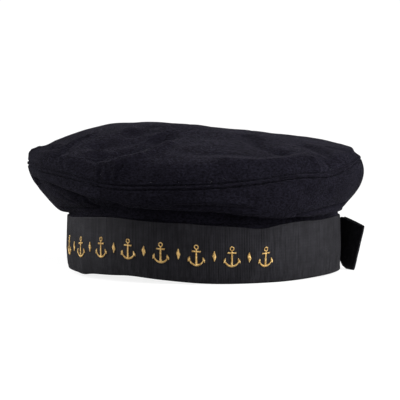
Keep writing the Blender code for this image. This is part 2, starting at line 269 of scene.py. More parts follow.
# %% Make the grosgrain
grosgrain, tree, shader = new_finish("black_grosgrain")
THREAD_SCALE = 160  # level bands, about 500 to a metre
wave = {"Vector": cloth_place(tree), "Scale": THREAD_SCALE, "Distortion": 0.6, "Detail": 1}
threads = node(tree, "ShaderNodeTexWave", wave, bands_direction="Z").outputs["Fac"]
streaks = speckle(tree, cloth_place(tree, (1, 1, 0.06)), 760)
clouds = speckle(tree, cloth_place(tree, (1, 1, 1.6)), 110, detail=4)
black = between(tree, clouds, (0.0030, 0.0029, 0.0037), (0.0070, 0.0068, 0.0083))
ribbed = between(tree, streaks, (0.3, 0.3, 0.3), (1.75, 1.75, 1.75), 0.36, 0.64)
tree.links.new(multiplied(tree, black, ribbed), shader.inputs["Base Color"])
tree.links.new(ranged(tree, clouds, 0.74, 0.55), shader.inputs["Roughness"])
shader.inputs["Specular IOR Level"].default_value = 0.2
shader.inputs["Specular Tint"].default_value = (0.90, 0.875, 1.0, 1)
shader.inputs["Sheen Weight"].default_value = 0.006
tree.links.new(bumped(tree, threads, 0.3, 0.08 * MM), shader.inputs["Normal"])
print("grosgrain nodes:", len(tree.nodes))

# %% [markdown]
# ## Gold and navy thread
#
# The ornament is stitched in gold silk. It could be a flat gold picture on the ribbon,
# but the photograph shows raised thread with light and dark sides. Each stitch will be
# a small tube, so the material only gives it the twist of its strands, a warm colour
# that changes from stitch to stitch, and a silky shine. The sewing thread is the same
# recipe in navy, and so are the pale fibres of lint.

# %% Make the threads
def thread_finish(name, low, high, roughness, metallic):
    """Twisted thread, whose colour wanders between two."""
    made, tree, shader = new_finish(name)
    colours = between(tree, speckle(tree, cloth_place(tree), 700, detail=2), low, high)
    tree.links.new(colours, shader.inputs["Base Color"])
    shader.inputs["Roughness"].default_value = roughness
    shader.inputs["Metallic"].default_value = metallic
    shader.inputs["Specular IOR Level"].default_value = 0.5 if metallic else 0.1
    strands = speckle(tree, cloth_place(tree, (1, 1, 0.35)), 6000, detail=1)
    tree.links.new(bumped(tree, strands, 0.5, 0.08 * MM), shader.inputs["Normal"])
    return made


gold_thread = thread_finish("gold_silk", (0.42, 0.235, 0.055), (0.85, 0.60, 0.24), 0.38, 0.35)
navy_thread = thread_finish("navy_cotton", (0.003, 0.003, 0.005), (0.005, 0.005, 0.008), 0.8, 0.0)
lint_fibre = thread_finish("lint_fibre", (0.10, 0.10, 0.11), (0.22, 0.22, 0.24), 0.9, 0.0)
print("threads:", gold_thread.name, navy_thread.name, lint_fibre.name)

# %% [markdown]
# ## Smooth curves through short tables
#
# The cap is a ring of upright sections. It could be sculpted, but then no size could be
# read off it. So each section is a row of a table, every 30 degrees round the head, and
# a Catmull-Rom curve joins them smoothly, both round the cap and along each section. The
# tables are those that the solids were made from, so the fine cloth lies where they are.

# %% Curve helpers
def smooth_between(before, start, end, after, share):
    """A point between start and end, on a smooth curve through all four."""
    return 0.5 * (
        2 * start
        + (end - before) * share
        + (2 * before - 5 * start + 4 * end - after) * share**2
        + (3 * start - before - 3 * end + after) * share**3
    )


def around(table, column, angles):
    """A column's values at these angles, in metres, on a curve closed round the cap."""
    values = np.array([getattr(row, column) for row in table]) * MM
    places = (np.asarray(angles, float) - table[0].angle) % 360 * len(table) / 360
    first = np.floor(places).astype(int)
    near = [values[(first + k) % len(table)] for k in (-1, 0, 1, 2)]
    return smooth_between(*near, places - first)


def along(points, places):
    """Points on an open curve through the given ones, at places counted in points."""
    points = np.concatenate([[2 * points[0] - points[1]], points, [2 * points[-1] - points[-2]]])
    places = np.asarray(places, float)
    first = np.clip(np.floor(places).astype(int), 0, len(points) - 4)
    share = (places - first).reshape(-1, *[1] * (points.ndim - 1))
    return smooth_between(*(points[first + k] for k in range(4)), share)


def on_cap(angles, radii, heights):
    """Points on the cap, from angles round the head, distances from its middle and heights."""
    turn = np.radians(angles)
    x, y = HEAD_X + radii * np.sin(turn), HEAD_Y - radii * np.cos(turn)
    return np.stack([x, y, heights + 0 * turn], axis=-1)


def unit(vectors):
    """The same directions, one metre long."""
    return vectors / np.maximum(np.linalg.norm(vectors, axis=-1, keepdims=True), 1e-12)


def turn_from(middle_angle, angles):
    """How far round from a middle angle, between -180 and 180 degrees."""
    return (angles - middle_angle + 180) % 360 - 180


def bell(away, half_width, height):
    """A soft ridge, or a groove where the height is below zero."""
    return height * np.exp(-((away / half_width) ** 2))


print("a place 90 mm from the head's middle, at the front:", on_cap(0.0, 0.09, 0.0))

# %% [markdown]
# ## From rows of points to cloth
#
# Real cloth has two sides and an edge. A single sheet with a Solidify modifier would do,
# but its inside would copy every rib and stitch hole. So each cloth is a loop of points,
# down the outside and back up the inside, carried round the cap, and one helper turns
# such a grid into a closed mesh.

# %% Mesh helper
def cloth_object(name, points, material):
    """A mesh from a grid of points, whose rows and columns each close into a ring."""
    rows, columns = points.shape[:2]
    index = np.arange(rows * columns).reshape(rows, columns)
    index = np.concatenate([index, index[:1]])
    index = np.concatenate([index, index[:, :1]], axis=1)
    faces = np.stack([index[:-1, :-1], index[1:, :-1], index[1:, 1:], index[:-1, 1:]], axis=-1)
    mesh = bpy.data.meshes.new(name)
    mesh.from_pydata(points.reshape(-1, 3).tolist(), [], faces.reshape(-1, 4).tolist())
    return finished(name, mesh, material)


def finished(name, mesh, material):
    """Smooths a mesh, gives it its material, and rides it on the cap."""
    shell = bmesh.new()
    shell.from_mesh(mesh)
    bmesh.ops.remove_doubles(shell, verts=shell.verts, dist=1e-7)
    loose = [edge for edge in shell.edges if edge.is_wire]
    bmesh.ops.delete(shell, geom=loose, context="EDGES")
    bmesh.ops.recalc_face_normals(shell, faces=shell.faces)
    shell.to_mesh(mesh)
    shell.free()
    mesh.shade_smooth()
    mesh.materials.append(material)
    piece = bpy.data.objects.new(name, mesh)
    bpy.context.scene.collection.objects.link(piece)
    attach(piece, "root")
    print(name, "has", len(mesh.polygons), "faces")
    return piece


# %% [markdown]
# ## The headband's sizes
#
# The headband is an oval, longer from front to back, that swells a little at its
# middle. It could be one scaled ring, but the photograph shows a soft one: the front
# lifts off the ground, and the ribbon's top edge gapes there. So every 30 degrees a row
# says how far the band lifts, gapes and tucks in at its foot, in millimetres. Soft edges
# are never level either, so small waves lift and lower the hem and the ribbon's edge.

# %% Headband tables
HEADBAND_HEIGHT = 38.5 * MM
HEADBAND_LENGTH = 190 * MM
HEADBAND_WIDTH = 183 * MM
HEADBAND_WALL = 2.5 * MM
WOOL_WALL = 2.0 * MM
RIBBON_WIDTH = 37 * MM
RIBBON_WALL = 1.0 * MM
RIBBON_FOOT = 0.8 * MM  # the headband cloth shows this far below the ribbon
GAP = 0.3 * MM  # between pieces that touch

SwellRow = namedtuple("SwellRow", "share out")  # share of the headband's height
SWELL = (
    SwellRow(0.00, 0.0),
    SwellRow(0.15, 0.1 * MM),
    SwellRow(0.42, 0.7 * MM),
    SwellRow(1.00, 0.0),
)
BandRow = namedtuple("BandRow", "angle lift gape tuck")
BAND = (
    BandRow(-66, 1.2, 0.0, 1.2),
    BandRow(-36, 3.2, 0.2, 1.2),
    BandRow(-6, 3.6, 0.9, 1.2),
    BandRow(24, 1.0, 1.6, 1.2),
    BandRow(54, 0.0, 1.5, 1.1),
    BandRow(84, 0.8, 0.2, 0.6),
    BandRow(114, 0.6, 0.0, -0.3),
    BandRow(144, 0.0, 0.0, 0.0),
    BandRow(174, 0.0, 0.0, 0.8),
    BandRow(204, 0.0, 0.0, 1.2),
    BandRow(234, 0.0, 0.0, 1.2),
    BandRow(264, 0.0, 0.0, 1.2),
)

EdgeWave = namedtuple("EdgeWave", "angle width rise")  # degrees, degrees, millimetres
TOP_WAVES = (
    EdgeWave(-46, 11, -0.8),
    EdgeWave(-15, 13, 1.1),
    EdgeWave(17, 10, 1.0),
    EdgeWave(46, 7, -1.6),
    EdgeWave(66, 12, 1.6),
    EdgeWave(98, 18, 1.0),
)
HEM_WAVES = (
    EdgeWave(-60, 6, 0.5),
    EdgeWave(-38, 6, -1.2),
    EdgeWave(-8, 8, 0.7),
    EdgeWave(27, 15, -0.5),
)


def lift(angles):
    """How far the headband stands off the ground."""
    return np.maximum(around(BAND, "lift", angles), 0)


def waved(waves, angles):
    """How far a cloth edge waves up or down, in metres."""
    return sum(bell(turn_from(wave.angle, angles), wave.width, wave.rise * MM) for wave in waves)


def headband_outside(angles, share):
    """Distance from the head's middle to the headband's outside, at a share of its height."""
    turn = np.radians(angles)
    length, width = HEADBAND_LENGTH / 2, HEADBAND_WIDTH / 2
    oval = length * width / np.hypot(width * np.cos(turn), length * np.sin(turn))
    swell = np.interp(share, [row.share for row in SWELL], [row.out for row in SWELL])
    tuck = around(BAND, "tuck", angles) * np.clip(1 - share / SWELL[1].share, 0, 1)
    return oval + swell - tuck


print("headband outside in mm, front and side:", headband_outside(np.array([0, 90]), 0.4) / MM)

# %% [markdown]
# ## The crown's sections
#
# The crown is a wide bag of wool that slouches over the band. Cloth simulation could
# drop such a bag on a head, but it would never slouch as this one does. So each row
# holds an upright section as it was measured, in millimetres from the middle of the head
# opening. From the headband the cloth stands up by "neck", goes out to "under", hangs
# over the "lip", fills out by "belly" to the seam, rolls over by "roll" to the rim, and
# climbs past the shoulder and inner rings to the middle.

# %% Crown table
CrownRow = namedtuple(
    "CrownRow",
    "angle neck under_r under_z lip_r lip_z belly seam_r seam_z"
    " roll rim_r rim_z shoulder_z inner_z",
)
CROWN = (
    CrownRow(-66, 0.3, 100.5, 43.0, 111.5, 56.0, 1.5, 120.2, 74.0, 3.0, 111.6, 86.2, 98.8, 100.2),
    CrownRow(-36, 2.0, 99.0, 47.5, 110.2, 55.0, 2.0, 119.4, 72.5, 3.6, 110.0, 85.6, 96.5, 99.4),
    CrownRow(-6, 3.5, 97.5, 52.0, 107.5, 51.0, 3.0, 117.0, 63.5, 4.6, 106.5, 83.0, 93.0, 97.0),
    CrownRow(24, 4.0, 97.0, 51.5, 106.0, 49.0, 3.0, 114.3, 65.5, 4.4, 103.0, 82.6, 91.0, 95.0),
    CrownRow(54, 3.0, 96.5, 46.0, 105.0, 43.7, 3.6, 111.0, 71.5, 3.0, 100.0, 82.6, 90.0, 93.5),
    CrownRow(84, 2.0, 95.0, 44.5, 100.5, 46.5, 4.2, 108.6, 73.5, 2.2, 98.8, 84.2, 89.7, 92.6),
    CrownRow(114, 1.5, 94.0, 43.5, 97.8, 48.0, 5.2, 107.2, 78.0, 1.6, 97.4, 85.2, 90.7, 93.3),
    CrownRow(144, 2.0, 95.5, 44.5, 101.0, 47.5, 5.2, 107.5, 78.5, 2.0, 100.0, 86.4, 92.6, 94.7),
    CrownRow(174, 3.0, 97.0, 46.5, 104.0, 48.0, 4.4, 111.0, 77.5, 2.4, 103.0, 88.0, 94.0, 95.9),
    CrownRow(204, 3.5, 98.0, 48.5, 106.0, 49.0, 3.4, 113.5, 76.0, 2.8, 105.0, 87.5, 95.2, 97.7),
    CrownRow(234, 3.0, 98.5, 48.0, 108.0, 50.5, 2.8, 116.5, 75.0, 3.2, 108.0, 87.5, 97.0, 99.4),
    CrownRow(264, 1.2, 99.5, 45.0, 110.2, 53.5, 2.0, 119.3, 75.5, 3.2, 111.0, 87.5, 99.4, 100.8),
)
SHOULDER_RING = 0.62  # share of the rim's radius
INNER_RING = 0.30
MIDDLE_Z = 97.5 * MM
SEAM, MIDDLE = 5, 10  # where the rings come, counted along a section from the headband
print("upright sections:", len(CROWN))

# %% [markdown]
# ## From rows to rings
#
# Between two measured sections the cloth passes smoothly from one to the other. That
# could be done with a curve object and a loft, but a smooth curve through the table's
# own numbers is the same in the solids and here. One more point on each side of the
# seam fills the cloth out between two measured ones.

# %% Rings of a section
def crown_rings(angles):
    """The crown's rings from the headband to the middle, as (radius, height) by angle."""
    row = {column: around(CROWN, column, angles) for column in CrownRow._fields[1:]}
    foot = headband_outside(angles, 1.0)
    base = HEADBAND_HEIGHT + GAP + lift(angles)

    def filled(low, high, out):
        """The point halfway between two, pushed out square to the line between them."""
        rise = row[high + "_z"] - row[low + "_z"]
        run = row[high + "_r"] - row[low + "_r"]
        reach = row[out] / np.hypot(rise, run)
        return (
            (row[low + "_r"] + row[high + "_r"]) / 2 + rise * reach,
            (row[low + "_z"] + row[high + "_z"]) / 2 - run * reach,
        )

    rings = [
        (foot, base),
        (foot, base + row["neck"]),
        (row["under_r"], row["under_z"]),
        (row["lip_r"], row["lip_z"]),
        filled("lip", "seam", "belly"),
        (row["seam_r"], row["seam_z"]),
        filled("seam", "rim", "roll"),
        (row["rim_r"], row["rim_z"]),
        (row["rim_r"] * SHOULDER_RING, row["shoulder_z"]),
        (row["rim_r"] * INNER_RING, row["inner_z"]),
        (0 * foot, MIDDLE_Z + 0 * foot),
    ]
    return np.array([np.stack(ring, axis=-1) for ring in rings])


print("rings in each section:", len(crown_rings(np.array([0.0]))))

# %% [markdown]
# ## Folds
#
# The photograph shows where this crown is creased, and that is what makes it one cap
# and no other. Folds could be sculpted by hand, but a table can be measured and changed.
# A fold is a line on the crown through three places, each an angle round the head and a
# count of rings up the section, with a half width and a height in millimetres. The cloth
# near the line moves out for a ridge and in for a hollow, which is below zero. The big
# folds are in the solids too. The small ones are only here: the sharp crest, back and
# shade of a ridge, puckers above the seam, pleats where the crown tucks under, and
# shallow dents in the top. "Right" and "left" are the wearer's.

# %% Fold tables
Fold = namedtuple("Fold", "name angle_1 at_1 angle_2 at_2 angle_3 at_3 half_width height")
FOLDS = (
    Fold("right_front_ridge", -36, 6.5, -36, 7.0, -43.5, 7.7, 3.2, 1.7),
    Fold("right_front_hollow", -61, 7.16, -86, 6.95, -74, 7.32, 6.0, -1.6),
    Fold("front_ridge", -6, 6.5, 0, 6.88, 4.5, 7.85, 4.5, 2.8),
    Fold("front_hollow", -17, 7.1, -10, 7.6, -6, 8.3, 8.5, -5.2),
    Fold("upper_hollow", -26, 7.5, -22, 8.0, -30, 8.8, 8.5, -4.4),
    Fold("left_front_ridge", 32, 6.88, 47, 6.55, 64, 7.0, 6.0, 2.0),
    Fold("left_corner_ridge", 66, 7.1, 67, 6.2, 67.5, 5.2, 3.5, 1.6),
    Fold("left_front_hollow", 79, 8.9, 60, 8.0, 60, 7.4, 6.5, -3.4),
    Fold("left_end_hollow", 88, 7.6, 81, 7.12, 74.5, 6.2, 5.5, -2.6),
    Fold("top_fullness", -20, 9.2, 24, 9.6, 82, 8.8, 20.0, 3.2),
    Fold("rear_hollow", 158, 7.9, 174, 7.4, 196, 7.7, 11.0, -3.4),
    Fold("rear_ridge", 205, 6.6, 222, 7.0, 236, 7.3, 7.0, 2.2),
    Fold("under_pleat", -56, 3.75, -31, 3.5, -8, 3.1, 4.5, -3.6),
    Fold("rear_under_pleat", 205, 3.4, 232, 3.0, 258, 3.5, 5.0, -3.0),
)
SMALL_FOLDS = (
    Fold("right_ridge_crest", -33.6, 6.4, -33.7, 6.92, -43.6, 7.68, 1.3, 1.2),
    Fold("right_ridge_back", -37.4, 6.5, -37.4, 7.08, -46.2, 7.77, 2.0, -1.9),
    Fold("front_ridge_crest", -12, 6.38, -3.5, 6.62, 1.2, 7.05, 1.5, 1.3),
    Fold("front_ridge_back", -11, 6.86, -7.5, 7.02, -4, 7.14, 1.8, -1.2),
    Fold("end_knob", -76, 5.9, -66, 5.95, -58, 6.2, 3.0, 1.3),
    Fold("end_bump", -66, 6.9, -60.5, 6.92, -55, 6.92, 2.2, 1.0),
    Fold("end_round", -78, 6.65, -68, 6.7, -60, 6.85, 2.6, -1.6),
    Fold("knob_notch", -74, 7.1, -66, 7.1, -58, 7.12, 1.8, -1.0),
    Fold("right_ridge_shade", -31.4, 6.6, -31.6, 6.9, -41.2, 7.6, 1.3, -0.6),
    Fold("right_dimple", -46.5, 7.04, -42.5, 7.1, -40, 7.16, 2.0, -1.4),
    Fold("right_bump", -53, 7.12, -48.5, 7.17, -46, 7.22, 2.0, 1.0),
    Fold("hollow_blend", -19.5, 7.46, -16.8, 7.76, -14.5, 8.2, 4.5, -2.1),
    Fold("hollow_fill", -26, 7.62, -23.5, 7.9, -23, 8.3, 6.0, 1.6),
    Fold("rim_fill", -34, 8.3, -30, 8.6, -27, 8.9, 7.0, 2.4),
    Fold("fork_shade", -15.5, 6.65, -16.5, 7.0, -17.5, 7.28, 1.7, -1.4),
    Fold("fork_ridge", -20, 6.95, -17.5, 7.15, -15.5, 7.28, 1.4, 1.1),
    Fold("fork_drop", -15.5, 7.26, -13, 7.05, -10, 6.84, 1.3, 0.9),
    Fold("pucker_ridge_1", -12.8, 6.25, -12.8, 5.85, -12.6, 5.45, 1.0, 0.6),
    Fold("pucker_hollow_1", -11.6, 6.35, -11.4, 6.0, -11.2, 5.6, 0.9, -0.8),
    Fold("pucker_ridge_2", -9.6, 6.3, -9.7, 5.85, -9.7, 5.4, 1.1, 0.6),
    Fold("pucker_hollow_2", -6.2, 6.5, -7.1, 5.95, -7.8, 5.35, 0.9, -0.9),
    Fold("pucker_ridge_3", -4.9, 6.4, -5.6, 6.1, -6.1, 5.65, 0.9, 0.8),
    Fold("pucker_hollow_3", -2.9, 6.25, -4.0, 5.9, -5.0, 5.45, 0.9, -0.6),
    Fold("pucker_ridge_4", -1.6, 6.4, -2.6, 6.05, -3.6, 5.65, 0.9, 0.8),
    Fold("ripple_ridge_1", -31, 6.3, -30, 5.9, -29.2, 5.45, 1.0, 0.4),
    Fold("ripple_hollow", -28.8, 6.25, -28.0, 5.9, -27.3, 5.5, 0.9, -0.6),
    Fold("ripple_ridge_2", -26.6, 6.3, -25.8, 5.9, -25.0, 5.45, 1.0, 0.4),
    Fold("ripple_hollow_2", -23.5, 6.4, -23.0, 6.1, -22.5, 5.8, 1.1, -0.5),
    Fold("end_fold_1", 72.5, 5.1, 74, 5.5, 75, 5.9, 1.4, -0.8),
    Fold("end_fold_2", 97, 6.5, 99, 6.78, 102, 7.1, 1.8, -0.8),
    Fold("end_crest", 96, 7.35, 97, 7.2, 98, 7.0, 2.0, 0.8),
    Fold("far_end_point", 100, 4.4, 114, 4.45, 128, 4.4, 6.5, 1.3),
    Fold("far_end_round", 104, 5.5, 114, 5.6, 124, 5.5, 3.0, -1.4),
    Fold("pleat_lip", -44.5, 4.3, -28, 4.2, -9, 3.95, 2.6, 1.5),
    Fold("pleat_line_1", -40, 3.64, -27, 3.18, -22.5, 1.78, 1.4, -2.2),
    Fold("pleat_line_3", -60, 3.42, -39.5, 3.1, -31.5, 2.54, 1.3, -1.6),
    Fold("pleat_roll", -42.5, 3.7, -34, 3.48, -27, 3.32, 1.1, 0.9),
    Fold("pleat_line_2", -38, 4.02, -27, 3.7, -14, 3.45, 1.4, -2.0),
    Fold("pleat_shade", -27, 2.95, -19, 2.75, -9, 2.6, 5.0, -3.8),
    Fold("lower_lip", 16, 3.98, 27.5, 3.94, 39, 3.84, 2.0, 1.1),
    Fold("lower_lip_shade", 14, 3.6, 27.5, 3.58, 40, 3.5, 1.8, -1.2),
    Fold("side_dent", 61, 4.16, 66, 3.98, 73, 4.08, 4.0, -1.2),
    Fold("right_neck_crease", -48, 2.0, -28, 1.75, -12, 1.5, 1.5, -0.9),
    Fold("left_neck_fold", 60, 3.08, 75, 3.22, 92, 3.15, 1.6, -2.2),
    Fold("left_neck_roll", 64, 2.5, 78, 2.6, 96, 2.6, 1.8, 1.5),
    Fold("left_neck_crease", 66, 0.9, 80, 1.4, 100, 1.7, 1.6, -1.2),
    Fold("back_sag_1", 172, 8.7, 181, 8.7, 191, 8.6, 8.0, -0.9),
    Fold("back_sag_2", 220, 8.5, 236, 8.3, 255, 8.1, 10.0, -1.0),
    Fold("dent_1", -3, 7.5, -1, 7.58, 2, 7.7, 4.0, -0.6),
    Fold("dent_2", 14, 7.4, 18, 7.4, 24, 7.35, 5.0, -0.6),
    Fold("dent_3", 29, 7.4, 33, 7.38, 38, 7.3, 4.0, -0.6),
)
print("big folds:", len(FOLDS), "small folds:", len(SMALL_FOLDS))

# %% [markdown]
# ## How a fold moves the cloth
#
# Each fold is a soft bell across its line. If big folds were simply added up, two that
# cross would make a spike. So only the highest ridge and the deepest hollow of the big
# ones count at any point, and the small ones, which are shallow, are added on top.

# %% Fold helpers
FOLD_STEPS = 8  # points on each fold's middle line


def fold_line(fold):
    """The middle line of a fold, on the smooth crown."""
    ends = np.array([getattr(fold, f"angle_{k}") for k in (1, 2, 3)], float)
    counts = np.array([getattr(fold, f"at_{k}") for k in (1, 2, 3)])
    steps = np.linspace(0, 2, FOLD_STEPS)
    angles = along(ends, steps)
    rings = crown_rings(angles)
    spots = [along(rings[:, k], [count])[0] for k, count in enumerate(along(counts, steps))]
    return on_cap(angles, *np.array(spots).T)


def distance_to_line(points, line):
    """How far each point is from a line of straight pieces."""
    nearest = np.full(points.shape[:-1], np.inf)
    for start, end in zip(line[:-1], line[1:]):
        run = end - start
        share = np.clip((points - start) @ run / (run @ run), 0, 1)
        away = np.linalg.norm(points - start - share[..., None] * run, axis=-1)
        nearest = np.minimum(nearest, away)
    return nearest


def fold_height(points):
    """How far the folds push the cloth out, in metres."""
    ridge, hollow, small = (np.zeros(points.shape[:-1]) for _ in range(3))
    for fold in FOLDS + SMALL_FOLDS:
        away = distance_to_line(points, fold_line(fold))
        height = bell(away, fold.half_width * MM, fold.height * MM)
        if fold in SMALL_FOLDS:
            small += height
        else:
            ridge, hollow = np.maximum(ridge, height), np.minimum(hollow, height)
    return ridge + hollow + small


front_rings = crown_rings(np.array([0.0]))
front_seam = on_cap(np.array([0.0]), *front_rings[SEAM].T)
print("folds at the front of the seam, in mm:", np.round(fold_height(front_seam) / MM, 2))

# %% [markdown]
# ## Slackness and the seam
#
# Soft cloth is never quite smooth. A Displace modifier with a noise texture could shake
# it. A sum of gentle waves in random directions, always from the same seed, does so
# too, and the length and depth of the waves are chosen in millimetres. At the seam both
# panels turn in, which makes the dark line, and a row of stitching a little above it
# holds a raised welt between the two lines. The stitching also pulls the wool into
# small puckers.

# %% Slackness and seam helpers
SLACK_SEED = 11
SLACK_WAVES = 36
SLACK_DEPTH = 0.22 * MM
WELT_WIDTH = 2.7 * MM
SEAM_HALF_WIDTH, SEAM_DEPTH = 0.4 * MM, -0.9 * MM
WELT_HALF_WIDTH, WELT_HEIGHT = 0.7 * MM, 0.3 * MM
SEWN_HALF_WIDTH, SEWN_DEPTH = 0.5 * MM, -1.2 * MM
PUCKERS = 64
PUCKER_HALF_WIDTH = 1.1  # degrees
PUCKER_REACH = 7 * MM
SEAM_WAVES = (
    EdgeWave(-38, 9, -1.6),
    EdgeWave(-16, 6, 0.5),
    EdgeWave(8, 7, 0.6),
    EdgeWave(44, 20, -1.8),
    EdgeWave(72, 10, -2.6),
    EdgeWave(97, 7, 1.6),
)

draw = np.random.default_rng(SLACK_SEED)
wave_ways = unit(draw.normal(size=(SLACK_WAVES, 3)))
wave_lengths = draw.uniform(11, 38, SLACK_WAVES) * MM
wave_starts = draw.uniform(0, 2 * np.pi, SLACK_WAVES)
pucker_angles = np.arange(PUCKERS) * 360 / PUCKERS + draw.uniform(-2.2, 2.2, PUCKERS)
pucker_depths = draw.uniform(0.1, 0.45, PUCKERS) * MM


def slackness(points):
    """Gentle waves in the cloth, in metres."""
    total = np.zeros(points.shape[:-1])
    for way, length, start in zip(wave_ways, wave_lengths, wave_starts):
        total += length * np.sin(2 * np.pi * (points @ way) / length + start)
    return total / wave_lengths.sum() * SLACK_DEPTH * SLACK_WAVES**0.5


def seam_pull(angles, from_seam):
    """Puckers where the stitching pulls the cloth in, fading away from the seam."""
    total = np.zeros(np.broadcast(angles, from_seam).shape)
    for middle_angle, depth in zip(pucker_angles, pucker_depths):
        pucker = bell(turn_from(middle_angle, angles), PUCKER_HALF_WIDTH, depth)
        total -= pucker * np.exp(-from_seam / PUCKER_REACH)
    return total


def seam_shape(from_seam, above):
    """The groove at the seam, and above it the welt and the groove of its stitching."""
    shape = bell(from_seam, SEAM_HALF_WIDTH, SEAM_DEPTH)
    if above:
        shape += bell(from_seam - WELT_WIDTH / 2, WELT_HALF_WIDTH, WELT_HEIGHT)
        shape += bell(from_seam - WELT_WIDTH, SEWN_HALF_WIDTH, SEWN_DEPTH)
    return shape


print("puckers round the seam:", PUCKERS)

# %% [markdown]
# ## The crown's two panels
#
# The crown is sewn from a top and an under panel. One mesh would do for a picture, but
# the seam looks real when two cloths meet in it. Evenly spaced rows would waste faces
# on the plain cloth and blur the seam, so each section is measured out from the seam:
# rows lie close together there, and wide apart further off. The inside of the wool is
# the same shape, less its thickness.

# %% Make a crown panel
ANGLE_STEPS = 480
SECTION_STEPS = 400  # points in each section, before it is measured out
SLOPE_STEP = 0.01  # in the same count as the rings
FINE_WIDTH = 6 * MM
FINE_ROWS, TOP_ROWS, SIDE_ROWS, INSIDE_ROWS = 24, 100, 60, 22
SEAM_SLIDE = 12 * MM  # the seam's own waves fade away over this distance
crown_angles = np.arange(ANGLE_STEPS) * 360 / ANGLE_STEPS


def crown_panel(name, edge, end, plain_rows):
    """A panel from its edge at the seam to its far end, both counted along a section.
    Returns the piece, and the grid of its points with the outside's rows first."""
    rings = crown_rings(crown_angles)
    counts = np.linspace(edge, end, SECTION_STEPS)
    fine = along(rings, counts)
    slope = along(rings, counts + SLOPE_STEP) - along(rings, counts - SLOPE_STEP)
    if end == MIDDLE:
        slope[-1] = (-1, 0)  # level where it meets the middle
    steps = np.linalg.norm(np.diff(fine, axis=0), axis=-1)
    run = np.concatenate([np.zeros((1, ANGLE_STEPS)), np.cumsum(steps, axis=0)])
    near = np.linspace(0, FINE_WIDTH, FINE_ROWS, endpoint=False)

    def measured_out(rows_of):
        """Radius, height, both slopes and distance from the seam, at rows of each section."""
        kept = []
        for k in range(ANGLE_STEPS):
            rows = rows_of(run[-1, k])
            columns = (*fine[:, k].T, *slope[:, k].T, run[:, k])
            kept.append(np.stack([np.interp(rows, run[:, k], c) for c in columns], axis=-1))
        return np.stack(kept)

    outer = measured_out(lambda whole: np.concatenate(
        [near, FINE_WIDTH + (whole - FINE_WIDTH) * np.linspace(0, 1, plain_rows)]))
    inner = measured_out(lambda whole: whole * np.linspace(1, 0, INSIDE_ROWS))
    walls = []
    for rows, depth in ((outer, 0), (inner, WOOL_WALL)):
        radii, heights, run_r, run_z, from_seam = np.moveaxis(rows, -1, 0)
        angles = crown_angles[:, None] + 0 * radii
        up_section = unit(np.stack([run_r, run_z], axis=-1))
        inward = np.stack([-up_section[..., 1], up_section[..., 0]], axis=-1)
        slide = waved(SEAM_WAVES, angles) * bell(from_seam, SEAM_SLIDE, 1)
        radii = radii + slide * up_section[..., 0]
        heights = heights + slide * up_section[..., 1]
        points = on_cap(angles, radii, heights)
        out = fold_height(points)
        if depth == 0:
            out = out + slackness(points) + seam_pull(angles, from_seam)
            out = out + seam_shape(from_seam, end > edge)
        moved = np.stack([radii, heights], axis=-1) + (depth - out)[..., None] * inward
        walls.append(on_cap(angles, moved[..., 0], moved[..., 1]))
    grid = np.concatenate(walls, axis=1)
    return cloth_object(name, grid, wool), grid


print("sections round the crown:", ANGLE_STEPS)

# %% [markdown]
# ## The top and the under panel
#
# The two panels meet just under the seam's own ring in the table. They could share
# their edge, but with a hair's gap between them the seam stays a dark line.

# %% Make the two panels
SEAM_HALF_GAP = 0.012  # in the same count as the rings
SEWN_AT = SEAM - 0.07
crown_top, top_grid = crown_panel("crown_top_cloth", SEWN_AT + SEAM_HALF_GAP, MIDDLE, TOP_ROWS)
crown_side, _ = crown_panel("crown_side_cloth", SEWN_AT - SEAM_HALF_GAP, 0, SIDE_ROWS)
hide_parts("crown_top")
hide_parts("crown_side")

# %% [markdown]
# ## Stitches
#
# A line of sewing is a row of short thread loops that dip into the cloth at each end.
# Each could be a curve object with a bevel, but hundreds of those are slow. So a stitch
# is a small tube along a few points, and one helper makes any number of them as one mesh.

# %% Thread helpers
TUBE_SIDES = 6
TUBE_END = 0.35  # share of the thread's thickness
NEARLY_UPRIGHT = 0.2  # the sine of a thread's angle from upright
STITCH_DIP = 0.05 * MM  # below the cloth, at both ends of a stitch


def threads_object(name, lines, thickness, material, sides=TUBE_SIDES):
    """Tubes along lines of points, all with the same number of points."""
    lines = np.asarray(lines, float)
    count, length = lines.shape[:2]
    heading = unit(np.gradient(lines, axis=1))
    upright = np.broadcast_to([0.0, 0.0, 1.0], heading.shape)
    sideways = np.cross(heading, upright)
    too_steep = np.linalg.norm(sideways, axis=-1, keepdims=True) < NEARLY_UPRIGHT
    sideways = unit(np.where(too_steep, np.cross(heading, [1.0, 0.3, 0.0]), sideways))
    above = np.cross(sideways, heading)
    turns = np.arange(sides) * 2 * np.pi / sides
    swell = np.ones(length)
    swell[0] = swell[-1] = TUBE_END
    spokes = (np.cos(turns)[:, None] * sideways[:, :, None] +
              np.sin(turns)[:, None] * above[:, :, None])
    points = lines[:, :, None] + spokes * (thickness / 2 * swell)[None, :, None, None]
    ring = np.arange(sides)
    next_ring = (ring + 1) % sides
    start = np.arange(count * length).reshape(count, length)[:, :-1].ravel()[:, None] * sides
    quads = np.stack([start + ring, start + next_ring, start + sides + next_ring,
                      start + sides + ring], axis=-1).reshape(-1, 4)
    first = np.arange(count)[:, None] * length * sides
    caps = np.concatenate([first + ring[::-1], first + (length - 1) * sides + ring])
    mesh = bpy.data.meshes.new(name)
    mesh.from_pydata(points.reshape(-1, 3).tolist(), [], quads.tolist() + caps.tolist())
    return finished(name, mesh, material)


def measured(path, closed):
    """A path's points, and how far along it each one is."""
    if closed:
        path = np.concatenate([path, path[:1]])
    steps = np.linalg.norm(np.diff(path, axis=0), axis=-1)
    return path, np.concatenate([[0], np.cumsum(steps)])


